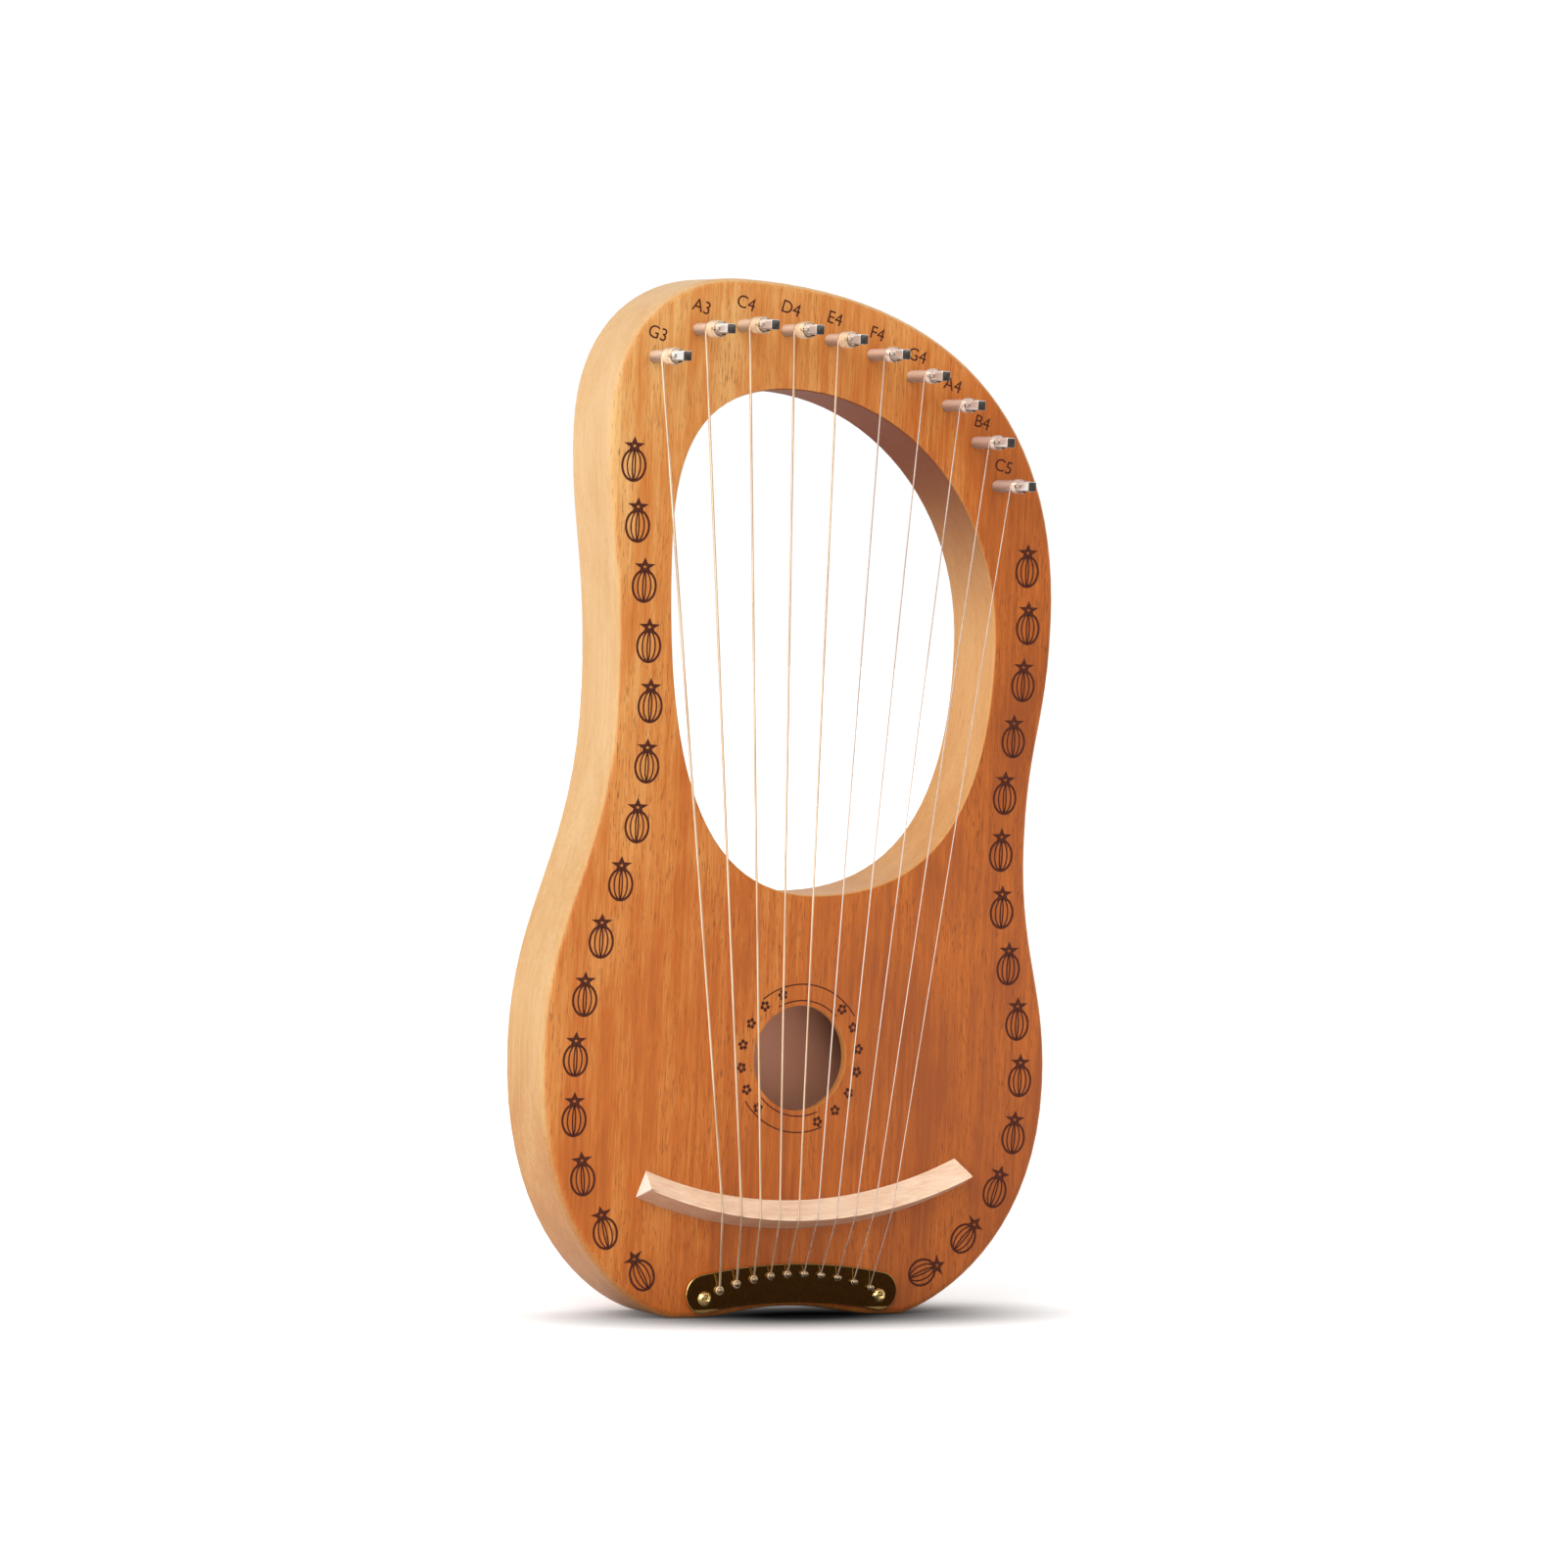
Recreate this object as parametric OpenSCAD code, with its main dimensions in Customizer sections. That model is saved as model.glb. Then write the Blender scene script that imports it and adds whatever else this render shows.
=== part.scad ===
// Ten-string lyre: a hollow wooden body with an egg-shaped opening, a curved bridge, a metal tail plate
// and ten tuning pins. X is to the right seen from the front, the front faces -Y and Z is up.
// The origin is under the middle of the whole lyre, on the surface that its two feet stand on.

/* [Body] */
// Height from the feet to the crown
body_h = 410; // [340:1:495]
// Width across the belly
body_w = 231; // [190:1:280]
// Thickness of the body, front face to back face
body_t = 32.5; // [27:0.5:40]
// Thickness of the soundboard
front_t = 3.5; // [2.5:0.1:5]
// Thickness of the back plate
back_t = 3.5; // [2.5:0.1:5]
// Depth of the right waist, in from the belly
waist_in_right = 14; // [5:0.5:20]
// Depth of the left waist, in from the belly
waist_in_left = 26; // [15:0.5:32]
// How far the right shoulder stands inside the belly
shoulder_in_right = 6; // [0:0.5:12]
// How far the left shoulder stands inside the belly
shoulder_in_left = 17.5; // [10:0.5:24]
// Height of the widest point of the belly, right side
belly_z_right = 93; // [80:1:110]
// Height of the widest point of the belly, left side
belly_z_left = 107; // [90:1:120]
// Height of the right waist
waist_z_right = 191; // [170:1:205]
// Height of the left waist
waist_z_left = 247; // [230:1:260]
// Drop from the crown to the right shoulder
shoulder_drop_right = 130; // [115:1:140]
// Drop from the crown to the left shoulder
shoulder_drop_left = 61; // [50:1:75]
// Sideways place of the crown
crown_x = -41; // [-50:1:-30]

/* [Feet] */
// Sideways place of each foot
foot_x = 47.5; // [40:0.5:58]
// Width of each foot's flat
foot_flat = 8; // [6:0.5:12]
// Height of the arch between the feet
arch_h = 4; // [2:0.5:5]

/* [Opening] */
// Height of the lowest point of the opening
opening_z = 168; // [155:1:178]
// Sideways place of the lowest point of the opening
opening_x = 2; // [-5:1:10]
// Height of the wood over the opening, at its top
yoke_h = 42.5; // [36:0.5:48]
// Sideways place of the top of the opening
yoke_x = -16; // [-25:1:-5]
// Width of the right arm
arm_right = 27.5; // [22:0.5:32]
// Width of the left arm
arm_left = 30.5; // [25:0.5:35]
// Drop from the crown to the widest point of the opening, right side
opening_drop_right = 142; // [130:1:155]
// Drop from the crown to the widest point of the opening, left side
opening_drop_left = 102; // [90:1:115]

/* [Sound box] */
// Wood beside the cavity
side_wall = 14; // [10:0.5:18]
// Wood under the cavity
bottom_wall = 27; // [25:0.5:32]
// Wood between the cavity and the opening
top_wall = 14; // [10:0.5:18]
// Sideways reach of each upper lobe of the cavity
lobe_x = 60; // [52:1:66]
// Radius of the sound hole
hole_r = 21; // [15:0.5:25]
// Height of the sound hole's centre
hole_z = 103; // [98:1:108]
// Height of the lower soundboard brace
brace_low_z = 56; // [50:1:60]
// Height of the upper soundboard brace
brace_high_z = 136; // [132:1:138]
// Length of the lower brace
brace_low_len = 120; // [90:1:130]
// Length of the upper brace
brace_high_len = 146; // [110:1:150]
// Height of a brace's section along the board
brace_w = 7; // [5:0.5:9]
// Depth of a brace
brace_d = 9; // [6:0.5:12]
// Length of the slope at each end of a brace
brace_slope = 16; // [10:1:22]

/* [Tuning pins] */
// Number of strings
string_count = 10; // [8:1:10]
// Diameter of a tuning pin
pin_d = 5; // [4.2:0.1:6]
// Length of a pin that stands out of the front
pin_out = 26.5; // [22:0.5:32]
// Length of a pin in the wood
pin_in = 18; // [15:0.5:21.5]
// Radial clearance of a pin in its bore
pin_clear = 0.05; // [0.02:0.01:0.1]
// Wood left under the end of a pin
bore_spare = 1; // [0.5:0.5:2]
// Length of the square drive
drive_len = 6; // [4:0.5:7]
// Width of the square drive across its flats
drive_w = 3.9; // [3.4:0.1:4.2]
// Distance from the square drive back to the string eye
eye_back = 3; // [2:0.1:4]
// Diameter of the string eye
eye_d = 1.4; // [1.2:0.1:1.8]
// Distance between neighbouring pins, right of the crown
pin_pitch = 20.2; // [17:0.1:21.5]
// Distance between neighbouring pins, left of the crown
pin_pitch_left = 19.6; // [17:0.1:21.5]
// Distance of the pin row from the edge
pin_inset = 18.5; // [15:0.5:21]
// How much nearer the edge the first pin left of the crown stands; it grows with the square of the count
pin_drift = 1.6; // [0:0.1:1.8]

/* [Strings] */
// Number of wound strings
wound_count = 5; // [0:1:10]
// Diameter of the lowest wound string
gauge_wound = 1.0; // [0.8:0.05:1.2]
// Step down in diameter between wound strings
gauge_wound_step = 0.05; // [0:0.01:0.06]
// Diameter of the lowest plain string
gauge_plain = 0.6; // [0.5:0.05:0.75]
// Step down in diameter between plain strings
gauge_plain_step = 0.05; // [0:0.01:0.06]
// Distance from the string eye back to where a wound string leaves its pin
leave_wound = 6.2; // [5.4:0.1:8]
// Distance from the string eye back to where a plain string leaves its pin
leave_plain = 2.9; // [2.7:0.1:6]
// Turns of string on a pin
coil_turns = 3; // [2:1:3]
// Gap between a string and what it lies on
string_gap = 0.1; // [0.08:0.01:0.15]

/* [Bridge] */
// Height of the bridge over the front
bridge_h = 10; // [8:0.5:12]
// Distance along the front from the upper base edge to the ridge
bridge_up = 7; // [5:0.5:8.5]
// Distance along the front from the ridge to the lower base edge
bridge_down = 4.5; // [3.5:0.5:6]
// Radius of the ridge's arc
bridge_r = 190; // [160:1:228]
// Sideways place of the arc's lowest point
bridge_x = -1.7; // [-5:0.1:5]
// Height of the ridge's lowest point
bridge_z = 39.6; // [38:0.2:42]
// Reach of the bridge to the left of its lowest point
bridge_left = 68.5; // [57:0.5:75]
// Reach of the bridge to the right of its lowest point
bridge_right = 78.5; // [65:0.5:85]
// Width of the blunt ridge
ridge_w = 0.5; // [0.3:0.1:0.6]
// Distance between neighbouring strings on the ridge
ridge_pitch = 8.7; // [7.2:0.1:10.4]
// Sideways place of the middle of the strings on the ridge
ridge_x = 0.9; // [-3:0.1:3]

/* [Tail plate] */
// Width of the plate across its arc
plate_w = 15.6; // [14:0.2:16]
// Thickness of the plate
plate_t = 1.6; // [1.2:0.1:2]
// Radius of the plate's middle arc
plate_r = 210; // [180:1:252]
// Height of the middle arc's highest point
plate_z = 13.7; // [13:0.1:15]
// Sideways place of the plate's middle
plate_x = 0.4; // [-2:0.1:2]
// Distance from the plate's middle to the centre of each round end
plate_reach = 40.5; // [38:0.5:44]
// Distance from the plate's middle to each screw
screw_x = 40; // [38:0.5:42]
// Height of the screws
screw_z = 7.9; // [7.5:0.1:9]
// Diameter of a screw's head
screw_head_d = 6; // [5:0.1:6.6]
// Height of a screw's head
screw_head_h = 1.9; // [1.5:0.1:2.3]
// Diameter of a screw's shank
screw_d = 3.2; // [2.6:0.1:3.8]
// Length of a screw under its head
screw_len = 15; // [12:0.5:18]
// Distance between neighbouring hitch pins
hitch_pitch = 7.7; // [6.5:0.1:7.8]
// Radius of the arc of the hitch pins
hitch_r = 103; // [90:1:124]
// Height of the highest hitch pin
hitch_z = 17.2; // [16.5:0.1:17.6]
// Sideways place of the middle of the hitch pins
hitch_x = 1.3; // [0:0.1:2]
// Diameter of a hitch pin
hitch_d = 1.2; // [1:0.1:1.4]
// Diameter of a hitch pin's head
hitch_head_d = 2.4; // [2.1:0.1:2.8]
// Height of a hitch pin's head
hitch_head_h = 0.7; // [0.5:0.1:0.9]
// Length of a hitch pin behind the plate
hitch_len = 10; // [8:0.5:12]
// Radial clearance of the screws and hitch pins in their holes
fit_clear = 0.05; // [0.02:0.01:0.1]

/* [Hidden] */
$fn = 48;

// How full each curve is on its way into and out of a key point; this value gives about a quarter circle
round_curve = 0.55;

// Depths along Y
back_y = (pin_out + body_t) / 2;
front_y = back_y - body_t;
board_y = front_y + front_t;
core_t = body_t - front_t - back_t;
plate_y = front_y - plate_t;
ridge_y = front_y - bridge_h;

// Half widths
belly_x = body_w / 2;
right_shoulder_x = belly_x - shoulder_in_right;
left_shoulder_x = belly_x - shoulder_in_left;

// A key point is [place, heading, fullness before, fullness after, steps to the next key point]
outline_keys = [
    [[foot_x + foot_flat / 2, 0], [1, 0], 0, 0.1, 20],
    [[belly_x, belly_z_right], [0, 1], 0.78, 0.4, 14],
    [[belly_x - waist_in_right, waist_z_right], [0, 1], 0.47, 0.48, 12],
    [[right_shoulder_x, body_h - shoulder_drop_right], [0, 1], 0.48, 0.65, 28],
    [[crown_x, body_h], [-1, 0], 0.63, 0.52, 18],
    [[-left_shoulder_x, body_h - shoulder_drop_left], [0, -1], 0.69, 0.36, 12],
    [[-belly_x + waist_in_left, waist_z_left], [0, -1], 0.49, 0.48, 16],
    [[-belly_x, belly_z_left], [0, -1], 0.4, 0.8, 20],
    [[-foot_x - foot_flat / 2, 0], [1, 0], 0.15, 0, 1],
    [[-foot_x + foot_flat / 2, 0], [1, 0], 0, 0.4, 8],
    [[0, arch_h], [1, 0], 0.5, 0.5, 8],
    [[foot_x - foot_flat / 2, 0], [1, 0], 0.4, 0, 1]
];
opening_keys = [
    [[right_shoulder_x - arm_right, body_h - opening_drop_right], [0, 1], 0.61, 0.58, 24],
    [[yoke_x, body_h - yoke_h], [-1, 0], 0.54, 0.72, 18],
    [[-left_shoulder_x + arm_left, body_h - opening_drop_left], [0, -1], 0.65, 0.64, 26],
    [[opening_x, opening_z], [1, 0], 0.73, 0.74, 24]
];
cavity_keys = [
    [[0, bottom_wall], [1, 0], 0.65, 0.65, 12],
    [[belly_x - side_wall, belly_z_right], [0, 1], round_curve, round_curve, 12],
    [[lobe_x, opening_z], [-1, 0], round_curve, 0.4, 8],
    [[opening_x, opening_z - top_wall], [-1, 0], 0.4, 0.4, 8],
    [[-lobe_x, opening_z], [-1, 0], 0.4, round_curve, 12],
    [[-belly_x + side_wall, belly_z_left], [0, -1], round_curve, 0.65, 12]
];

function bezier(a, b, c, d, t) =
    pow(1 - t, 3) * a + 3 * pow(1 - t, 2) * t * b + 3 * (1 - t) * t * t * c + t * t * t * d;
function handle(key, next, fullness) =
    [for (k = [0, 1]) key[1][k] * abs(next[0][k] - key[0][k]) * fullness];
function span(a, b) =
    [for (i = [0 : a[4] - 1])
        bezier(a[0], a[0] + handle(a, b, a[3]), b[0] - handle(b, a, b[2]), b[0], i / a[4])];
function closed_curve(keys) =
    [for (k = [0 : len(keys) - 1]) each span(keys[k], keys[(k + 1) % len(keys)])];

outline = closed_curve(outline_keys);
opening = closed_curve(opening_keys);
cavity = closed_curve(cavity_keys);

// The pins stand along the outline moved inwards, a pitch apart, counted both ways from the third pin,
// which is under the crown
crown_pin = 2;
function left_of(v) = [-v[1], v[0]] / norm(v);
function inward(i) =
    left_of(outline[(i + 1) % len(outline)] - outline[(i + len(outline) - 1) % len(outline)]);
crown_at = outline_keys[0][4] + outline_keys[1][4] + outline_keys[2][4] + outline_keys[3][4];
pin_line = [for (i = [0 : len(outline) - 1]) outline[i] + inward(i) * pin_inset];

// Walks a distance along the pin line from point i, to the right (step -1) or to the left (step 1)
function walk(i, step, left) =
    let (here = pin_line[i], next = pin_line[i + step], gap = norm(next - here))
    left <= gap ? here + (next - here) * left / gap : walk(i + step, step, left - gap);
function walk_normal(i, step, left) =
    let (gap = norm(pin_line[i + step] - pin_line[i]))
    left <= gap ? inward(i) : walk_normal(i + step, step, left - gap);
function pin_place(i) =
    let (lefts = max(0, crown_pin - i), rights = max(0, i - crown_pin), step = lefts > 0 ? 1 : -1)
    let (far = lefts * pin_pitch_left + rights * pin_pitch)
    walk(crown_at, step, far) - walk_normal(crown_at, step, far) * pin_drift * pow(lefts, 2);
pin_xz = [for (i = [0 : string_count - 1]) pin_place(i)];

// Strings
function gauge(i) =
    i < wound_count
        ? gauge_wound - i * gauge_wound_step
        : gauge_plain - (i - wound_count) * gauge_plain_step;
eye_out = pin_out - drive_len - eye_back;
function leave(i) = eye_out - (i < wound_count ? leave_wound : leave_plain);
function from_middle(i) = i - (string_count - 1) / 2;
function arc_drop(r, x) = r - sqrt(r * r - x * x);
function ridge_xz(i) =
    let (x = ridge_x + from_middle(i) * ridge_pitch)
    [x, bridge_z + arc_drop(bridge_r, x - bridge_x)];
function hitch_xz(i) =
    let (x = hitch_x + from_middle(i) * hitch_pitch)
    [x, hitch_z - arc_drop(hitch_r, x - hitch_x)];
function tangent_xz(i) =
    let (rho = pin_d / 2 + gauge(i) / 2 + string_gap, v = ridge_xz(i) - pin_xz[i])
    let (turn = atan2(v[1], v[0]) - acos(rho / norm(v)))
    pin_xz[i] + rho * [cos(turn), sin(turn)];

// A string is a little thicker at its bend over the bridge and in its loop, where its windings spread
bend_full = 1.05;
loop_full = 1.15;
// A turn of string is pressed a little into its neighbour and flattened against its pin
coil_step = 0.98;
coil_press = 0.9;
function loop_r(i) = hitch_d / 2 + gauge(i) / 2 * loop_full + string_gap;
loop_depth = gauge_wound * loop_full + 2 * string_gap;

// A flat piece with its outline in X and Z, from depth y0 towards the back
module slab(points, y0, t) {
    translate([0, y0 + t, 0])
        rotate([90, 0, 0])
            linear_extrude(t)
                polygon(points);
}

// A round bar along Y
module rod(xz, y0, length, r) {
    translate([xz[0], y0, xz[1]])
        rotate([-90, 0, 0])
            cylinder(h = length, r = r);
}

// A round bar between any two points
module wire(a, b, r) {
    v = b - a;
    translate(a)
        rotate([0, acos(v[2] / norm(v)), atan2(v[1], v[0])])
            cylinder(h = norm(v), r = r, $fn = 24);
}

// Holes for the tail plate's screws and hitch pins, from depth y0
module tail_holes(y0, length) {
    for (side = [-1, 1])
        rod([plate_x + side * screw_x, screw_z], y0, length, screw_d / 2 + fit_clear);
    for (i = [0 : string_count - 1])
        rod(hitch_xz(i), y0, length, hitch_d / 2 + fit_clear);
}

module pin_holes(y0, length) {
    for (p = pin_xz)
        rod(p, y0, length, pin_d / 2 + pin_clear);
}

module body_frame() {
    color("burlywood")
        difference() {
            slab(outline, board_y, core_t);
            slab(opening, board_y - 1, core_t + 2);
            slab(cavity, board_y - 1, core_t + 2);
            pin_holes(board_y - 1, pin_in - front_t + bore_spare + 1);
            tail_holes(board_y - 1, screw_len - plate_t - front_t + bore_spare + 1);
        }
}

module soundboard() {
    color("peru")
        difference() {
            slab(outline, front_y, front_t);
            slab(opening, front_y - 1, front_t + 2);
            rod([0, hole_z], front_y - 1, front_t + 2, hole_r);
            pin_holes(front_y - 1, front_t + 2);
            tail_holes(front_y - 1, front_t + 2);
        }
}

module back_plate() {
    color("peru")
        difference() {
            slab(outline, back_y - back_t, back_t);
            slab(opening, back_y - back_t - 1, back_t + 2);
        }
}

// A brace glued behind the soundboard, sloped away at both ends
module brace(z, length) {
    color("wheat")
        translate([0, board_y, z - brace_w / 2])
            linear_extrude(brace_w)
                polygon([
                    [-length / 2, 0],
                    [length / 2, 0],
                    [length / 2 - brace_slope, brace_d],
                    [-length / 2 + brace_slope, brace_d]
                ]);
}

module bridge() {
    from = -90 - asin(bridge_left / bridge_r);
    to = -90 + asin(bridge_right / bridge_r);
    color("blanchedalmond")
        translate([bridge_x, front_y, bridge_z + bridge_r])
            rotate([90, 0, 0])
                rotate([0, 0, from])
                    rotate_extrude(angle = to - from, $fn = 180)
                        polygon([
                            [bridge_r - bridge_up, 0],
                            [bridge_r + bridge_down, 0],
                            [bridge_r + ridge_w / 2, bridge_h],
                            [bridge_r - ridge_w / 2, bridge_h]
                        ]);
}

module tail_plate() {
    turn = asin(plate_reach / plate_r);
    centre = [plate_x, plate_z - plate_r];
    wedge = [
        centre,
        centre + 2 * plate_r * [-sin(turn), cos(turn)],
        centre + 2 * plate_r * [sin(turn), cos(turn)]
    ];
    color("darkgoldenrod")
        difference() {
            union() {
                intersection() {
                    difference() {
                        rod(centre, plate_y, plate_t, plate_r + plate_w / 2);
                        rod(centre, plate_y - 1, plate_t + 2, plate_r - plate_w / 2);
                    }
                    slab(wedge, plate_y - 1, plate_t + 2);
                }
                for (side = [-1, 1])
                    rod(
                        [plate_x + side * plate_reach, centre[1] + plate_r * cos(turn)],
                        plate_y, plate_t, plate_w / 2
                    );
            }
            tail_holes(plate_y - 1, plate_t + 2);
        }
}

// A domed head on a straight shank, with a cross slot; the head sits on the plate
module tail_plate_screws() {
    ball_r = (pow(screw_head_d / 2, 2) + pow(screw_head_h, 2)) / (2 * screw_head_h);
    slot_w = screw_head_d / 8;
    slot_len = screw_head_d * 0.55;
    slot_deep = screw_head_h * 0.6;
    slot_turn = 20;
    color("goldenrod")
        for (side = [-1, 1])
            translate([plate_x + side * screw_x, plate_y, screw_z])
                difference() {
                    union() {
                        intersection() {
                            translate([0, ball_r - screw_head_h, 0])
                                sphere(r = ball_r);
                            rod([0, 0], -screw_head_h - 1, screw_head_h + 1, screw_head_d / 2 + 1);
                        }
                        rod([0, 0], 0, screw_len, screw_d / 2);
                    }
                    for (turn = [slot_turn, slot_turn + 90])
                        translate([0, -screw_head_h - 1, 0])
                            rotate([0, turn, 0])
                                translate([-slot_len / 2, 0, -slot_w / 2])
                                    cube([slot_len, slot_deep + 1, slot_w]);
                }
}

module hitch_pins() {
    color("silver")
        for (i = [0 : string_count - 1]) {
            rod(hitch_xz(i), plate_y - loop_depth, plate_t + loop_depth + hitch_len, hitch_d / 2);
            rod(hitch_xz(i), plate_y - loop_depth - hitch_head_h, hitch_head_h, hitch_head_d / 2);
        }
}

module tuning_pin(i) {
    tip_y = front_y - pin_out;
    color("lightgray")
        difference() {
            union() {
                rod(pin_xz[i], tip_y + drive_len, pin_out - drive_len + pin_in, pin_d / 2);
                intersection() {
                    rod(pin_xz[i], tip_y, drive_len, pin_d / 2);
                    translate([pin_xz[i][0] - drive_w / 2, tip_y, pin_xz[i][1] - drive_w / 2])
                        cube([drive_w, drive_len, drive_w]);
                }
            }
            translate([pin_xz[i][0], front_y - eye_out, pin_xz[i][1]])
                rotate([0, 90, 0])
                    cylinder(h = pin_d + 2, r = eye_d / 2, center = true);
        }
}

// The straight run from the pin over the bridge, and the loop round the hitch pin
module string(i) {
    r = gauge(i) / 2;
    top = tangent_xz(i);
    ridge = ridge_xz(i);
    hitch = hitch_xz(i);
    bend = [ridge[0], ridge_y - r * bend_full - string_gap, ridge[1]];
    loop_y = plate_y - r * loop_full - string_gap;
    color(i < wound_count ? "tan" : "silver") {
        wire([top[0], front_y - leave(i), top[1]], bend, r);
        translate(bend)
            sphere(r = r * bend_full, $fn = 24);
        wire(bend, [hitch[0], loop_y, hitch[1] + loop_r(i)], r);
        translate([hitch[0], loop_y, hitch[1]])
            rotate([90, 0, 0])
                rotate_extrude($fn = 24)
                    translate([loop_r(i), 0])
                        circle(r = r * loop_full, $fn = 24);
    }
}

// The turns of string on a pin, as rings side by side; they turn with the pin
module string_coil(i) {
    r = gauge(i) / 2;
    step = gauge(i) * coil_step;
    first = leave(i) + gauge(i) + string_gap;
    color(i < wound_count ? "tan" : "silver")
        translate([pin_xz[i][0], front_y - first, pin_xz[i][1]])
            rotate([90, 0, 0])
                rotate_extrude($fn = 48)
                    difference() {
                        for (k = [0 : coil_turns - 1])
                            translate([pin_d / 2 + r * coil_press, k * step])
                                circle(r = r, $fn = 24);
                        translate([0, -1])
                            square([pin_d / 2, coil_turns * step + 2]);
                    }
}

body_frame();
soundboard();
back_plate();
brace(brace_low_z, brace_low_len);  // brace_low
brace(brace_high_z, brace_high_len);  // brace_high
bridge();
tail_plate();
tail_plate_screws();
hitch_pins();
for (i = [0 : string_count - 1]) {
    tuning_pin(i);
    string(i);
    string_coil(i);
}
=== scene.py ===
import math

import bpy
from mathutils import Matrix, Vector


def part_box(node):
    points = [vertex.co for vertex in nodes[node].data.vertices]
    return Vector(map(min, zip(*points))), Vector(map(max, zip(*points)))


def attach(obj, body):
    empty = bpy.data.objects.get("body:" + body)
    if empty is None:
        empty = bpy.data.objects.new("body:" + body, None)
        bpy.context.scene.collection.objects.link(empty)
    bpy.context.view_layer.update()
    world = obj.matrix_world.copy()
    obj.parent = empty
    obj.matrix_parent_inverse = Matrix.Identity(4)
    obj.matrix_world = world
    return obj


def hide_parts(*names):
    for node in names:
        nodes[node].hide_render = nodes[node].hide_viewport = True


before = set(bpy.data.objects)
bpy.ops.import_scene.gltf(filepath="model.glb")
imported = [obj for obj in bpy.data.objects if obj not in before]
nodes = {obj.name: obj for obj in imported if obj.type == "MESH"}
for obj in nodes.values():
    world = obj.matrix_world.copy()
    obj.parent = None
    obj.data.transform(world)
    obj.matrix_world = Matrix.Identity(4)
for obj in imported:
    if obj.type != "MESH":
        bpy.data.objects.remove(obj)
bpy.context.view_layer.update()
scene = bpy.context.scene
mm = 0.001
stringNumbers = sorted(int(name.split("_")[-1]) for name in nodes if name.startswith("tuning_pin_"))
woundNumbers = stringNumbers[:5]  # the five lowest strings are wound, the rest are plain wire
boardLow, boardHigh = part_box("soundboard")
faceY = boardLow.y  # the front of the soundboard
holeHeight = 103 * mm  # the middle of the sound hole
upright = (math.radians(90), 0, 0)  # turns a flat shape to face the front
sameDepth = 0.01 * mm  # two depths that are closer than this count as one
cornerAngle = math.radians(50)  # faces that meet at more than this make a corner


def pinCentre(number):
    low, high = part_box(f"tuning_pin_{number}")
    return (low + high) / 2


pinCentres = [pinCentre(number) for number in stringNumbers]


def objectMode():
    if bpy.context.object and bpy.context.object.mode != "OBJECT":
        bpy.ops.object.mode_set(mode="OBJECT")


def onlySelect(piece):
    objectMode()
    bpy.ops.object.select_all(action="DESELECT")
    piece.select_set(True)
    bpy.context.view_layer.objects.active = piece


def editMode(piece, kind="FACE"):
    onlySelect(piece)
    scene.tool_settings.mesh_select_mode = (kind == "VERT", kind == "EDGE", kind == "FACE")
    bpy.ops.object.mode_set(mode="EDIT")


def clearPicks(mesh):
    for group in (mesh.vertices, mesh.edges, mesh.polygons):
        group.foreach_set("select", [False] * len(group))


def pickFaces(piece, test):
    objectMode()
    clearPicks(piece.data)
    for face in piece.data.polygons:
        face.select = test(face.center, face.normal)
    editMode(piece, "FACE")


# picks the edges that are corners and that pass the test on their middle and on their two faces' normals
def pickCorners(piece, test):
    objectMode()
    mesh = piece.data
    clearPicks(mesh)
    normals = {}
    for face in mesh.polygons:
        for key in face.edge_keys:
            normals.setdefault(key, []).append(face.normal.copy())
    for edge in mesh.edges:
        pair = normals.get(tuple(sorted(edge.vertices)), [])
        if len(pair) != 2 or pair[0].dot(pair[1]) > math.cos(cornerAngle):
            continue
        middle = (mesh.vertices[edge.vertices[0]].co + mesh.vertices[edge.vertices[1]].co) / 2
        if test(middle, pair):
            edge.select = True
            for corner in edge.vertices:
                mesh.vertices[corner].select = True
    editMode(piece, "EDGE")


def newestPiece(name):
    piece = bpy.context.object
    piece.name = name
    piece.data.name = name
    return piece


def applyPlace(piece):
    onlySelect(piece)
    bpy.ops.object.transform_apply(location=True, rotation=True, scale=True)


def smooth(piece, degrees=35):
    onlySelect(piece)
    bpy.ops.object.shade_smooth_by_angle(angle=math.radians(degrees))


def paint(piece, material):
    piece.data.materials.clear()
    piece.data.materials.append(material)


# a copy of a CAD node as one clean mesh that can be worked on
def workCopy(node, name, joinFlats=True):
    piece = bpy.data.objects.new(name, nodes[node].data.copy())
    scene.collection.objects.link(piece)
    editMode(piece, "VERT")
    bpy.ops.mesh.select_all(action="SELECT")
    bpy.ops.mesh.remove_doubles(threshold=0.005 * mm)
    if joinFlats:
        bpy.ops.mesh.dissolve_limited(angle_limit=math.radians(0.2))
    else:
        bpy.ops.mesh.tris_convert_to_quads(face_threshold=math.radians(8), shape_threshold=math.radians(80))
    objectMode()
    return piece


# a copy with its own mesh, turned about Y and moved
def placedCopy(piece, name, place, lean=0.0):
    twin = bpy.data.objects.new(name, piece.data.copy())
    scene.collection.objects.link(twin)
    twin.location = place
    twin.rotation_euler = (0, lean, 0)
    applyPlace(twin)
    return twin


def discard(*pieces):
    objectMode()
    for piece in pieces:
        bpy.data.objects.remove(piece)


def joined(pieces, name):
    onlySelect(pieces[0])
    for piece in pieces[1:]:
        piece.select_set(True)
    bpy.ops.object.join()
    return newestPiece(name)


def addModifier(piece, kind, **settings):
    modifier = piece.modifiers.new(kind.title(), kind)
    for name, value in settings.items():
        setattr(modifier, name, value)
    onlySelect(piece)
    bpy.ops.object.modifier_apply(modifier=modifier.name)


def finishPiece(piece, body, material, degrees=35, replaced=()):
    smooth(piece, degrees)
    paint(piece, material)
    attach(piece, body)
    if replaced:
        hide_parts(*replaced)
    return piece


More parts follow.
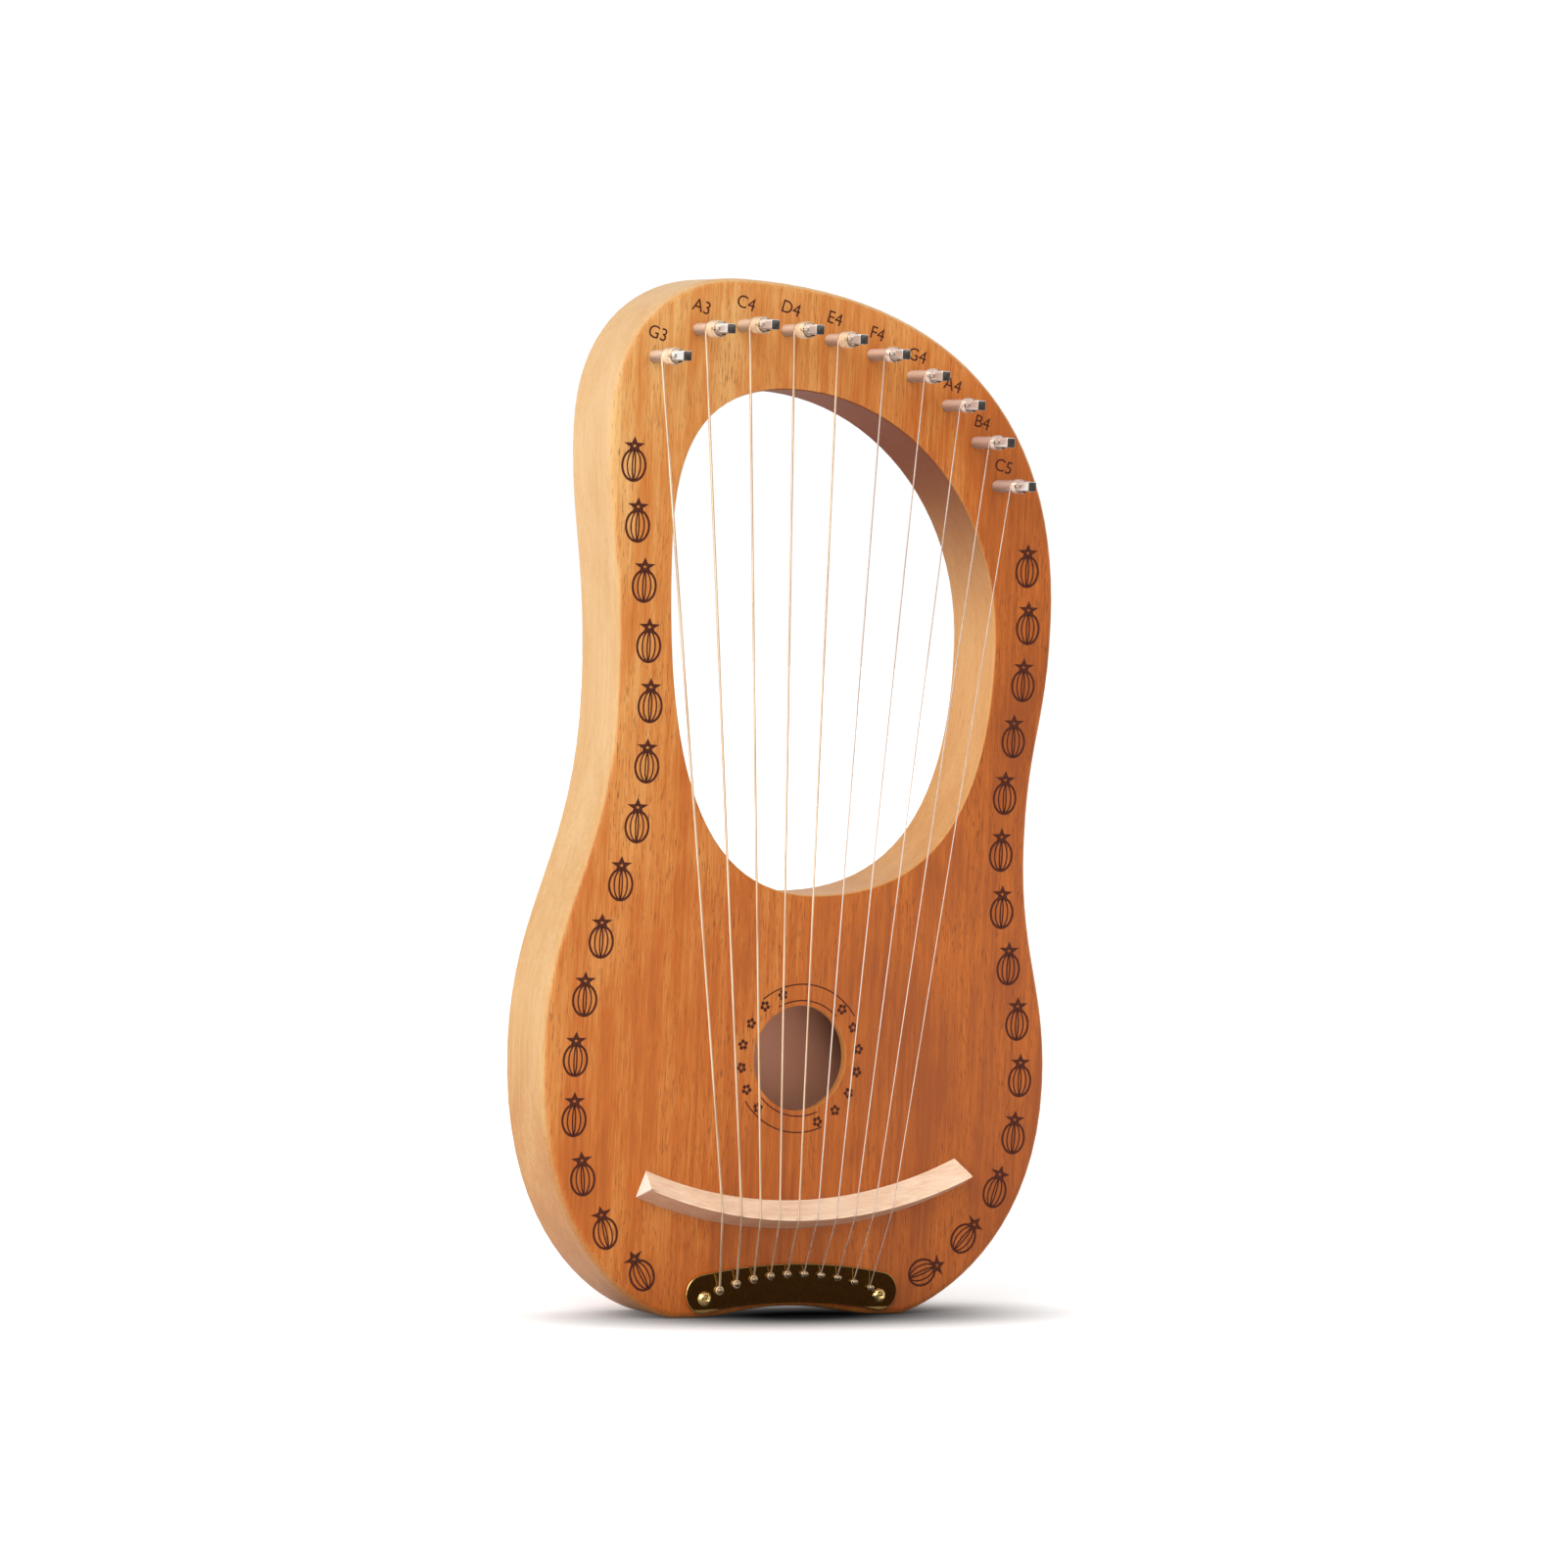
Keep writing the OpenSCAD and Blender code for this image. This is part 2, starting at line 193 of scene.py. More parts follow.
# makes big flat faces shade flat right up to their rounded edges
def levelShading(piece):
    addModifier(piece, "WEIGHTED_NORMAL", keep_sharp=True)


# wraps a socket, so that maths on it is written as Python expressions
class Value:
    def __init__(self, finish, socket):
        self.finish = finish
        self.socket = socket

    def maths(self, operation, first, second=0.0):
        return self.finish.add("Math", {"operation": operation}, {0: first, 1: second})

    def __add__(self, other):
        return self.maths("ADD", self, other)

    def __radd__(self, other):
        return self.maths("ADD", other, self)

    def __sub__(self, other):
        return self.maths("SUBTRACT", self, other)

    def __rsub__(self, other):
        return self.maths("SUBTRACT", other, self)

    def __mul__(self, other):
        return self.maths("MULTIPLY", self, other)

    def __rmul__(self, other):
        return self.maths("MULTIPLY", other, self)

    def __truediv__(self, other):
        return self.maths("DIVIDE", self, other)

    def __pow__(self, other):
        return self.maths("POWER", self, other)

    def __abs__(self):
        return self.maths("ABSOLUTE", self)


# a material, or the world, and the nodes that it is made of
class Finish:
    def __init__(self, owner):
        owner.use_nodes = True
        self.owner = owner
        self.tree = owner.node_tree
        self.tree.nodes.clear()

    # adds a node: its settings are set first, then its sockets get values or links
    def add(self, kind, settings, sockets, output=0):
        node = self.tree.nodes.new("ShaderNode" + kind)
        for name, value in settings.items():
            if name == "stops":
                self.setStops(node.color_ramp, value)
            else:
                setattr(node, name, value)
        for name, value in sockets.items():
            if isinstance(value, Value):
                self.tree.links.new(value.socket, node.inputs[name])
            else:
                node.inputs[name].default_value = value
        return Value(self, node.outputs[output]) if len(node.outputs) else node

    def setStops(self, ramp, stops):
        while len(ramp.elements) < len(stops):
            ramp.elements.new(1.0)
        for element, (place, colour) in zip(ramp.elements, stops):
            element.position = place
            element.color = (*colour, 1.0)

    # the place on the object in millimetres, with its own scale on each axis
    def place(self, scale=(1, 1, 1), turn=(0, 0, 0)):
        coordinates = self.add("TexCoord", {}, {}, 3)
        return self.add("Mapping", {}, {"Vector": coordinates, "Rotation": turn,
                                        "Scale": tuple(part / mm for part in scale)})

    # separate X, Y and Z of a vector
    def parts(self, vector):
        split = self.add("SeparateXYZ", {}, {"Vector": vector})
        return [Value(self, output) for output in split.socket.node.outputs]

    def noise(self, vector, detail=3.0, roughness=0.55, scale=1.0, distortion=0.0):
        return self.add("TexNoise", {}, {"Vector": vector, "Scale": scale, "Detail": detail,
                                         "Roughness": roughness, "Distortion": distortion})

    # 0 below low and 1 above high, with a soft step between them
    def step(self, value, low, high):
        return self.add("MapRange", {"interpolation_type": "SMOOTHSTEP"},
                        {"Value": value, "From Min": low, "From Max": high})

    def ramp(self, value, stops):
        return self.add("ValToRGB", {"stops": stops}, {"Fac": value})

    def mixColour(self, factor, first, second, blend="MIX"):
        asColour = [part if isinstance(part, Value) else (*part, 1.0) for part in (first, second)]
        return self.add("Mix", {"data_type": "RGBA", "blend_type": blend},
                        {0: factor, 6: asColour[0], 7: asColour[1]}, 2)

    # X, Y and Z of the way that the surface faces
    def normal(self):
        return self.parts(self.add("NewGeometry", {}, {}, 1))

    def bump(self, height, strength, distance):
        return self.add("Bump", {}, {"Height": height, "Strength": strength, "Distance": distance})

    def shader(self, sockets):
        surface = self.add("BsdfPrincipled", {}, sockets)
        self.add("OutputMaterial", {}, {"Surface": surface})
        return self.owner


def newFinish(name):
    return Finish(bpy.data.materials.new(name))


cameraView = {
    "place": (-1.2672, -2.1868, 0.2875),
    "heading": 29.87,  # degrees clockwise from +Y
    "tilt": -1.72,
    "roll": 2.55,
    "lens": 146.16,
    "sensor": 36.0,
}


def makeCamera():
    turn = (Matrix.Rotation(math.radians(-cameraView["heading"]), 3, "Z")
            @ Matrix.Rotation(math.radians(90 + cameraView["tilt"]), 3, "X")
            @ Matrix.Rotation(math.radians(cameraView["roll"]), 3, "Z"))
    bpy.ops.object.camera_add(location=cameraView["place"], rotation=turn.to_euler())
    camera = bpy.context.object
    camera.name = "studioCamera"
    camera.data.lens = cameraView["lens"]
    camera.data.sensor_width = cameraView["sensor"]
    camera.data.clip_end = 50
    scene.camera = camera
    scene.view_settings.view_transform = "Standard"


studio = {
    "horizonLight": 1.02,
    "skyLight": 0.80,
    "keyStrength": 1.55,
    "keyAngle": 50.0,
    "keyFrom": (-1.0, -0.62, 0.85),
    "floorSize": 40.0,
    "floorColour": (0.98, 0.98, 0.98),
    "floorGlow": 0.22,  # keeps the floor pale where the key light is blocked
    "paintedShadowColour": (0.012, 0.012, 0.012),  # a painted soft shadow where the lyre meets the floor
    "paintedShadowReach": (165.0, 62.0),  # mm, along X and along Y
    "paintedShadowMiddle": (10.0, 0.0),
    "cardColour": (0.07, 0.045, 0.03),
}


def makeWorld():
    sky = Finish(bpy.data.worlds.new("studioWorld"))
    scene.world = sky.owner
    direction = sky.add("TexCoord", {}, {}, 0)
    height = sky.step(sky.parts(direction)[2], 0.2, 0.45)
    strength = studio["horizonLight"] + height * (studio["skyLight"] - studio["horizonLight"])
    light = sky.add("Background", {}, {"Color": (1, 1, 1, 1), "Strength": strength})
    sky.add("OutputWorld", {}, {"Surface": light})


def makeLights():
    direction = Vector(studio["keyFrom"])
    bpy.ops.object.light_add(type="SUN", location=direction * 2)
    key = bpy.context.object
    key.name = "keyLight"
    key.rotation_euler = direction.to_track_quat("Z", "Y").to_euler()
    key.data.energy = studio["keyStrength"]
    key.data.angle = math.radians(studio["keyAngle"])


def makeFloor():
    finish = newFinish("paleFloor")
    grain = finish.noise(finish.place((0.01, 0.01, 0.01)), 2.0)
    colour = finish.mixColour(grain, studio["floorColour"], tuple(0.99 * c for c in studio["floorColour"]))
    x, y = finish.parts(finish.place())[:2]
    reachX, reachY = studio["paintedShadowReach"]
    middleX, middleY = studio["paintedShadowMiddle"]
    away = (((x - middleX) / reachX) ** 2 + ((y - middleY) / reachY) ** 2) ** 0.5
    # painted shadow: the floor's colour goes dark towards the middle under the lyre
    paintedShadow = 1 - finish.step(away, 0.1, 1.0)
    colour = finish.mixColour(paintedShadow, colour, studio["paintedShadowColour"])
    glow = finish.mixColour(finish.step(away, 0.1, 0.9), (0, 0, 0), (1, 1, 1))
    bpy.ops.mesh.primitive_plane_add(size=studio["floorSize"], location=(0, 0, 0))
    floor = newestPiece("studioFloor")
    paint(floor, finish.shader({"Base Color": colour, "Roughness": 0.9, "Specular IOR Level": 0.0,
                                "Emission Color": glow, "Emission Strength": studio["floorGlow"]}))


cards = {
    "lyingPlace": (0.16, -0.27, 0.0015),
    "lyingSize": (0.5, 0.5),
    "standingAway": 0.30,  # m in front of the lyre, square to the camera's heading
    "standingHeight": 0.31,
    "standingSize": (0.5, 0.24),
}


# dark cards that only polished surfaces see: one lies in front of the lyre, one stands to the right
def makeCards():
    dark = newFinish("darkCard")
    weave = dark.noise(dark.place((0.1, 0.1, 0.1)), 2.0)
    colour = dark.mixColour(weave, studio["cardColour"], tuple(1.2 * c for c in studio["cardColour"]))
    material = dark.shader({"Base Color": colour, "Roughness": 1.0, "Specular IOR Level": 0.0})
    heading = math.radians(cameraView["heading"])
    away = cards["standingAway"]
    standing = (away * math.sin(heading), -away * math.cos(heading), cards["standingHeight"])
    for name, place, turn, size in (
            ("lyingCard", cards["lyingPlace"], (0, 0, 0), cards["lyingSize"]),
            ("standingCard", standing, (math.radians(90), 0, heading), cards["standingSize"])):
        bpy.ops.mesh.primitive_plane_add(size=1, location=place, rotation=turn)
        card = newestPiece(name)
        card.scale = (*size, 1)
        applyPlace(card)
        paint(card, material)
        for ray in ("camera", "diffuse", "shadow", "transmission"):
            setattr(card, "visible_" + ray, False)


wood = {
    "figureScale": (0.045, 0.045, 0.013),
    "streakScale": (0.55, 0.55, 0.012),
    "fibreScale": (2.6, 2.6, 0.09),
    "poreScale": (1.9, 1.9, 0.22),
    "faceTone": 0.44,  # where the face's middle tone falls on its stops
    "faceMix": (0.62, 0.36, 0.34),  # how much the figure, the streaks and the fibres show
    "acrossTone": 0.37,  # from the lower right to the upper left
    "lowTone": 0.07,  # how much paler the face is near the floor
    "lowStretch": (200.0, 20.0),  # mm up
    "armShade": 0.10,  # how much darker the right arm is painted, a painted shade
    "armAcross": (55.0, 100.0),  # mm, where the right arm begins across and up
    "armUp": (150.0, 230.0),
    "sideTone": 0.48,
    "sideMix": (0.5, 0.3, 0.35),
    "sideDrop": 0.30,  # how much darker the side is painted near the floor, a painted shade where it turns under
    "dropStretch": (130.0, 0.0),
    "holeReach": 24,  # mm, just outside the sound hole's wall
    "dimStretch": (22.0, 50.0),  # mm, where the inside of the box goes from lit to dim
    "dimRise": 0.6,  # how much height counts there, beside width
    "openingMiddle": (12, 268),  # mm, across and up
    "openingReach": (84, 106),
    "boxInside": (2.5, 27.0),  # mm, the depths that the sound box lies between
    "faceStops": [(0.20, (0.30, 0.068, 0.010)), (0.42, (0.47, 0.118, 0.013)),
                  (0.60, (0.59, 0.225, 0.048)), (0.8, (0.72, 0.41, 0.145))],
    "sideStops": [(0.1, (0.36, 0.13, 0.028)), (0.3, (0.47, 0.21, 0.060)),
                  (0.5, (0.58, 0.32, 0.120)), (0.75, (0.67, 0.43, 0.21))],
    "poreColour": (0.10, 0.024, 0.007),
    "innerColour": (0.74, 0.34, 0.21),  # bare wood inside the sound box
    "innerDark": (0.22, 0.09, 0.055),  # the same in its dim upper right part
    "holeWallShade": (0.96, 0.66, 0.46),  # how much the sound hole's wall darkens red, green and blue, a painted shade
    "openingWallShade": (0.98, 0.82, 0.62),  # how much the opening's wall darkens red, green and blue, a painted shade
    "yokeUnderShade": (0.27, 0.105, 0.055),  # the same painted shade, deeper where that wall faces down
}


def woodFinish():
    finish = newFinish("lyreWood")
    figure = finish.noise(finish.place(wood["figureScale"]), 3.0, distortion=0.4)
    streaks = finish.noise(finish.place(wood["streakScale"]), 4.0)
    fibres = finish.noise(finish.place(wood["fibreScale"]), 2.0)
    pores = finish.noise(finish.place(wood["poreScale"]), 2.0, 0.4)
    poreMask = finish.step(pores, 0.58, 0.68) * finish.step(figure, 0.35, 0.6)
    x, y, z = finish.parts(finish.place())
    across = (z - 230) / 420 - x / 300  # paler at the top left, redder at the lower right
    # painted shade on the right arm
    rightArmShade = finish.step(x, *wood["armAcross"]) * finish.step(z, *wood["armUp"])
    figureShare, streakShare, fibreShare = wood["faceMix"]
    tone = (wood["faceTone"] + (figure - 0.5) * figureShare + (streaks - 0.5) * streakShare
            + (fibres - 0.5) * fibreShare + across * wood["acrossTone"])
    tone = tone + finish.step(z, *wood["lowStretch"]) * wood["lowTone"] - rightArmShade * wood["armShade"]
    face = finish.mixColour(poreMask * 0.5, finish.ramp(tone, wood["faceStops"]), wood["poreColour"])
    figureShare, streakShare, fibreShare = wood["sideMix"]
    sideTone = (wood["sideTone"] + (figure - 0.5) * figureShare + (streaks - 0.5) * streakShare
                + (fibres - 0.5) * fibreShare + z / 2400)
    # painted shade on the side near the floor
    sideTone = sideTone - finish.step(z, *wood["dropStretch"]) * wood["sideDrop"]
    side = finish.mixColour(poreMask * 0.1, finish.ramp(sideTone, wood["sideStops"]), wood["poreColour"])
    # painted shade: the wall of the opening is darker and redder, most of all under the yoke
    normalY, normalZ = finish.normal()[1:]
    (middleX, middleZ), (reachX, reachZ) = wood["openingMiddle"], wood["openingReach"]
    fromMiddle = ((x - middleX) / reachX) ** 2 + ((z - middleZ) / reachZ) ** 2
    inside = finish.step(fromMiddle, 1.25, 1.05)
    underShade = finish.step(normalZ, 0.1, -0.8)
    wallShade = finish.mixColour(underShade, wood["openingWallShade"], wood["yokeUnderShade"])
    side = finish.mixColour(inside, side, finish.mixColour(1.0, side, wallShade, "MULTIPLY"))
    aboveHole = z - holeHeight / mm
    fromHole = ((x / wood["holeReach"]) ** 2 + (aboveHole / wood["holeReach"]) ** 2) ** 0.5
    # painted shade on the sound hole's wall
    holeWallShade = finish.step(fromHole, 1.1, 1.0)
    side = finish.mixColour(holeWallShade, side, finish.mixColour(1.0, side, wood["holeWallShade"], "MULTIPLY"))
    # the side wood is paler than the face; the wide blend over the rounded edge also paints that edge's
    # highlight
    isFace = finish.step(abs(normalY), 0.62, 0.96)
    colour = finish.mixColour(isFace, side, face)
    boxFront, boxBack = wood["boxInside"]
    inBox = finish.step(y, boxFront - 0.5, boxFront) * finish.step(y, boxBack + 0.5, boxBack)
    dim = finish.step(x + aboveHole * wood["dimRise"], *wood["dimStretch"])
    inner = finish.mixColour(dim, wood["innerColour"], wood["innerDark"])
    colour = finish.mixColour(inBox * isFace, colour, inner)
    rough = 0.45 + (fibres - 0.5) * 0.2 + poreMask * 0.15 + inside * underShade * 0.4
    height = fibres * 0.4 - poreMask * 0.8
    return finish.shader({
        "Base Color": colour,
        "Roughness": rough,
        "Specular IOR Level": 0.24,
        "Coat Weight": 0.05,
        "Coat Roughness": 0.2,
        "Normal": finish.bump(height, 0.25, 0.1 * mm),
    })


def paleWoodFinish(name, low, high, end, ringPitch, underShade=(1, 1, 1)):
    finish = newFinish(name)
    waves = finish.noise(finish.place((0.04, 0.3, 0.3)), 3.0)
    rings = 1.0 / ringPitch
    lines = finish.noise(finish.place((0.06, rings, rings)), 3.0)
    fibres = finish.noise(finish.place((0.3, 3.0, 3.0)), 2.0)
    tone = 0.5 + (waves - 0.5) * 0.6 + (lines - 0.5) * 0.6 + (fibres - 0.5) * 0.5
    colour = finish.ramp(tone, [(0.25, low), (0.75, high)])
    normalX, normalZ = finish.normal()[::2]
    # painted shade on faces that look down
    downward = finish.step(normalZ, -0.2, -0.5)
    colour = finish.mixColour(downward, colour, finish.mixColour(1.0, colour, underShade, "MULTIPLY"))
    # the ends take the end colour: end grain, and on the maple also a painted highlight
    endGrainAndHighlight = finish.step(abs(normalX), 0.75, 0.9)
    return finish.shader({
        "Base Color": finish.mixColour(endGrainAndHighlight * 0.8, colour, end),
        "Roughness": 0.55 + (fibres - 0.5) * 0.2,
        "Normal": finish.bump(fibres, 0.2, 0.08 * mm),
    })


def burntFinish():
    finish = newFinish("burntMark")
    soot = finish.noise(finish.place((1.6, 1.6, 1.6)), 3.0)
    return finish.shader({
        "Base Color": finish.ramp(soot, [(0.3, (0.042, 0.010, 0.006)), (0.75, (0.110, 0.030, 0.016))]),
        "Roughness": 0.7 + (soot - 0.5) * 0.2,
        "Specular IOR Level": 0.1,
    })


def metalFinish(name, low, high, roughness, scratchScale=(0.6, 0.6, 0.6), edge=None, metallic=1.0,
                underShade=(1, 1, 1)):
    finish = newFinish(name)
    scratches = finish.noise(finish.place(scratchScale), 4.0)
    colour = finish.ramp(scratches, [(0.3, low), (0.7, high)])
    # where an edge colour is given, faces that look to the front take the low and high colours, a painted
    # dark reflection, and the rest take the edge colour
    if edge:
        frontReflection = finish.step(abs(finish.normal()[1]), 0.55, 0.95)
        colour = finish.mixColour(frontReflection, edge, colour)
    # painted shade on faces that look down
    normalZ = finish.normal()[2]
    downward = finish.step(normalZ, 0.4, -0.6)
    colour = finish.mixColour(downward, colour, finish.mixColour(1.0, colour, underShade, "MULTIPLY"))
    return finish.shader({
        "Base Color": colour,
        "Metallic": metallic,
        "Roughness": roughness + (scratches - 0.5) * roughness,
        "Normal": finish.bump(scratches, 0.06, 0.02 * mm),
    })


windingPitch = 0.32  # mm from one turn of the fine winding to the next


# wire wound round a core: fine turns along the string, which runs close to upright
def woundFinish():
    finish = newFinish("woundString")
    z = finish.parts(finish.place())[2]
    turns = finish.add("Math", {"operation": "SINE"}, {0: z * (2 * math.pi / windingPitch), 1: 0.0})
    tarnish = finish.noise(finish.place((0.3, 0.3, 0.02)), 3.0)
    return finish.shader({
        "Base Color": finish.ramp(tarnish, [(0.3, (0.66, 0.45, 0.28)), (0.7, (0.97, 0.77, 0.55))]),
        "Metallic": 0.85,
        "Roughness": 0.33 + (tarnish - 0.5) * 0.15,
        "Normal": finish.bump(turns, 0.35, 0.05 * mm),
    })


def makeFinishes():
    return {
        "wood": woodFinish(),
        # the maple's pale ends are partly a painted highlight, and its darker underside is a painted shade
        "maple": paleWoodFinish("bareMaple", (0.74, 0.47, 0.30), (0.94, 0.74, 0.54), (1.0, 0.93, 0.82), 1.4,
                                (0.60, 0.46, 0.42)),
        "spruce": paleWoodFinish("bareSpruce", (0.55, 0.38, 0.20), (0.76, 0.60, 0.38),
                                 (0.6, 0.42, 0.25), 1.1),
        "burnt": burntFinish(),
        # the tail plate's dark face colours are a painted dark reflection; its edge colour is the brass
        "brass": metalFinish("brassWithPaintedReflection", (0.30, 0.19, 0.06), (0.40, 0.27, 0.09), 0.05,
                             edge=(0.85, 0.60, 0.24)),
        "screw": metalFinish("brightBrass", (0.80, 0.56, 0.20), (0.92, 0.70, 0.32), 0.16),
        "hitch": metalFinish("dullBrass", (0.42, 0.30, 0.18), (0.60, 0.46, 0.30), 0.25),
        # the pins' dark front ends are a painted reflection, and their darker undersides are a painted shade
        "nickel": metalFinish("brightNickel", (0.10, 0.09, 0.08), (0.20, 0.18, 0.16), 0.20,
                              edge=(0.95, 0.91, 0.87), metallic=0.62, underShade=(0.42, 0.39, 0.37)),
        "wound": woundFinish(),
        "plain": metalFinish("plainWire", (0.70, 0.55, 0.46), (0.88, 0.73, 0.63), 0.26, (0.8, 0.8, 0.05),
                             metallic=0.8),
    }


rounding = {
    "edge": 3.0 * mm,  # the body's outer edges, front and back
    "openingEdge": 1.3 * mm,
    "holeEdge": 0.5 * mm,
    "braceEdge": 0.6 * mm,
    "steps": 6,
    "openingSteps": 4,
    "holeSteps": 3,
    "braceSteps": 2,
    "holeReach": 24 * mm,  # corners nearer than this to the hole's middle are the sound hole's
    "pinReach": 3 * mm,  # the same for a tuning pin's hole
    "openingRise": 0.63,  # a point inside the opening, as a share of the body's height
}


def bevelPicked(width, steps):
    bpy.ops.mesh.bevel(offset=width, offset_type="OFFSET", segments=steps, profile=0.5, affect="EDGES",
                       clamp_overlap=False, loop_slide=False)
    objectMode()


def roundPlate(piece, depth):
    low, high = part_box("body_frame")
    hole = Vector((0, 0, holeHeight))
    openingMiddle = Vector((0, 0, rounding["openingRise"] * high.z))

    def onFace(middle):
        return abs(middle.y - depth) < sameDepth

    def wallOf(pair):
        return min(pair, key=lambda normal: abs(normal.y))

    def flat(vector):
        return Vector((vector.x, 0, vector.z))

    def isHole(middle):
        return (flat(middle) - hole).length < rounding["holeReach"]

    def isSmall(middle):
        reach = rounding["pinReach"]
        return any(abs(middle.x - spot.x) < reach and abs(middle.z - spot.z) < reach for spot in pinCentres)

    def isOpening(middle, pair):
        return wallOf(pair).dot(flat(middle) - openingMiddle) < 0

    def isOutline(middle):
        return onFace(middle) and not isHole(middle) and not isSmall(middle)

    pickCorners(piece, lambda middle, pair: isOutline(middle) and not isOpening(middle, pair))
    bevelPicked(rounding["edge"], rounding["steps"])
    pickCorners(piece, lambda middle, pair: isOutline(middle) and isOpening(middle, pair))
    bevelPicked(rounding["openingEdge"], rounding["openingSteps"])
    if depth == faceY:
        pickCorners(piece, lambda middle, pair: onFace(middle) and isHole(middle))
        bevelPicked(rounding["holeEdge"], rounding["holeSteps"])
    for corner in piece.data.vertices:  # the flat face's border stays one rounding above the floor
        if onFace(corner.co):
            corner.co.z = max(corner.co.z, low.z + rounding["edge"])


def makeBody(finishes):
    board = workCopy("soundboard", "soundboardWood")
    roundPlate(board, faceY)
    finishPiece(board, "lyre_body", finishes["wood"], 40, ["soundboard"])
    levelShading(board)
    back = workCopy("back_plate", "backPlateWood")
    roundPlate(back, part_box("back_plate")[1].y)
    finishPiece(back, "lyre_body", finishes["wood"], 40, ["back_plate"])
    levelShading(back)
    body = workCopy("body_frame", "bodyFrameWood")
    finishPiece(body, "lyre_body", finishes["wood"], 40, ["body_frame"])
    levelShading(body)
    for name in ("brace_low", "brace_high"):
        brace = workCopy(name, name + "Wood")
        pickCorners(brace, lambda middle, pair: True)
        bevelPicked(rounding["braceEdge"], rounding["braceSteps"])
        finishPiece(brace, "lyre_body", finishes["spruce"], 40, [name])
    print("wooden body made")


bar = {
    "edge": 0.35 * mm,
    "steps": 3,
    "ridgeDepth": 0.5 * mm,  # corners nearer than this to the ridge stay sharp, where the strings bear
}


def makeBridge(finishes):
    bridge = workCopy("bridge", "bridgeWood", joinFlats=False)
    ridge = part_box("bridge")[0].y
    pickCorners(bridge, lambda middle, pair: middle.y > ridge + bar["ridgeDepth"])
    bevelPicked(bar["edge"], bar["steps"])
    finishPiece(bridge, "lyre_body", finishes["maple"], 30, ["bridge"])
    levelShading(bridge)
    print("bridge made")


tail = {
    "plateEdge": 0.45 * mm,
    "plateSteps": 3,
    "headRound": 0.45 * mm,  # the hitch pins' heads
    "headSteps": 4,
}


def makeTail(finishes):
    plate = workCopy("tail_plate", "tailPlateBrass")
    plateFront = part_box("tail_plate")[0].y
    pickCorners(plate, lambda middle, pair: abs(middle.y - plateFront) < sameDepth)
    bevelPicked(tail["plateEdge"], tail["plateSteps"])
    finishPiece(plate, "lyre_body", finishes["brass"], 35, ["tail_plate"])
    levelShading(plate)
    hitches = workCopy("hitch_pins", "hitchPinsBrass")
    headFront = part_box("hitch_pins")[0].y
    pickCorners(hitches, lambda middle, pair: abs(middle.y - headFront) < sameDepth)
    bevelPicked(tail["headRound"], tail["headSteps"])
    finishPiece(hitches, "lyre_body", finishes["hitch"], 40, ["hitch_pins"])
    screws = workCopy("tail_plate_screws", "tailScrewsBrass")
    finishPiece(screws, "lyre_body", finishes["screw"], 30, ["tail_plate_screws"])
    print("tail plate made")


pin = {
    "sides": 48,
    "driveLength": 6.0 * mm,
    "driveWidth": 3.9 * mm,
    "eyeBack": 3.0 * mm,  # from the square drive back to the string eye
    "eyeWide": 1.4 * mm,
    "eyeSides": 24,
    "tipBevel": 0.45 * mm,
    "tipSteps": 3,
    "stepLength": 0.3 * mm,  # how far the round shank takes to become the square drive
}


# one tuning pin standing on the line x = 0, z = 0, at its real depth
def modelPin():
    low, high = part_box("tuning_pin_1")
    radius = (high.x - low.x) / 2
    shoulder = low.y + pin["driveLength"]
    bpy.ops.mesh.primitive_cylinder_add(vertices=pin["sides"], radius=radius, depth=high.y - low.y,
                                        location=(0, (low.y + high.y) / 2, 0), rotation=upright)
    shaft = newestPiece("pinPattern")
    applyPlace(shaft)
    for depth in (shoulder, shoulder - pin["stepLength"]):
        editMode(shaft, "FACE")
        bpy.ops.mesh.select_all(action="SELECT")
        bpy.ops.mesh.bisect(plane_co=(0, depth, 0), plane_no=(0, 1, 0))
    objectMode()
    half = pin["driveWidth"] / 2
    for corner in shaft.data.vertices:  # presses the four flats into the drive
        if corner.co.y < shoulder - pin["stepLength"] / 2:
            corner.co.x = max(-half, min(half, corner.co.x))
            corner.co.z = max(-half, min(half, corner.co.z))
    pickCorners(shaft, lambda middle, pair: abs(middle.y - low.y) < sameDepth)
    bevelPicked(pin["tipBevel"], pin["tipSteps"])
    eyeDepth = shoulder + pin["eyeBack"]
    bpy.ops.mesh.primitive_cylinder_add(vertices=pin["eyeSides"], radius=pin["eyeWide"] / 2,
                                        depth=4 * radius, location=(0, eyeDepth, 0),
                                        rotation=(0, math.radians(90), 0))
    drill = newestPiece("eyeDrill")
    applyPlace(drill)
    addModifier(shaft, "BOOLEAN", operation="DIFFERENCE", object=drill, solver="EXACT")
    discard(drill)
    return shaft, radius, eyeDepth


coil = {
    "pointsInTurn": 24,
    "wireSides": 4,
    "squeeze": 3.8,  # the coil's solid is this many wire radii wider than its pin
    "gap": 0.1 * mm,
    "tailOut": 0.9 * mm,  # how far the end of the wire shows past its eye
    "tightness": 2.06,  # wire radii from one turn to the next
    "throughEye": (0.8, 0.4, 0.0, -0.6),  # where the end lies on its way through, as shares of the turn
}


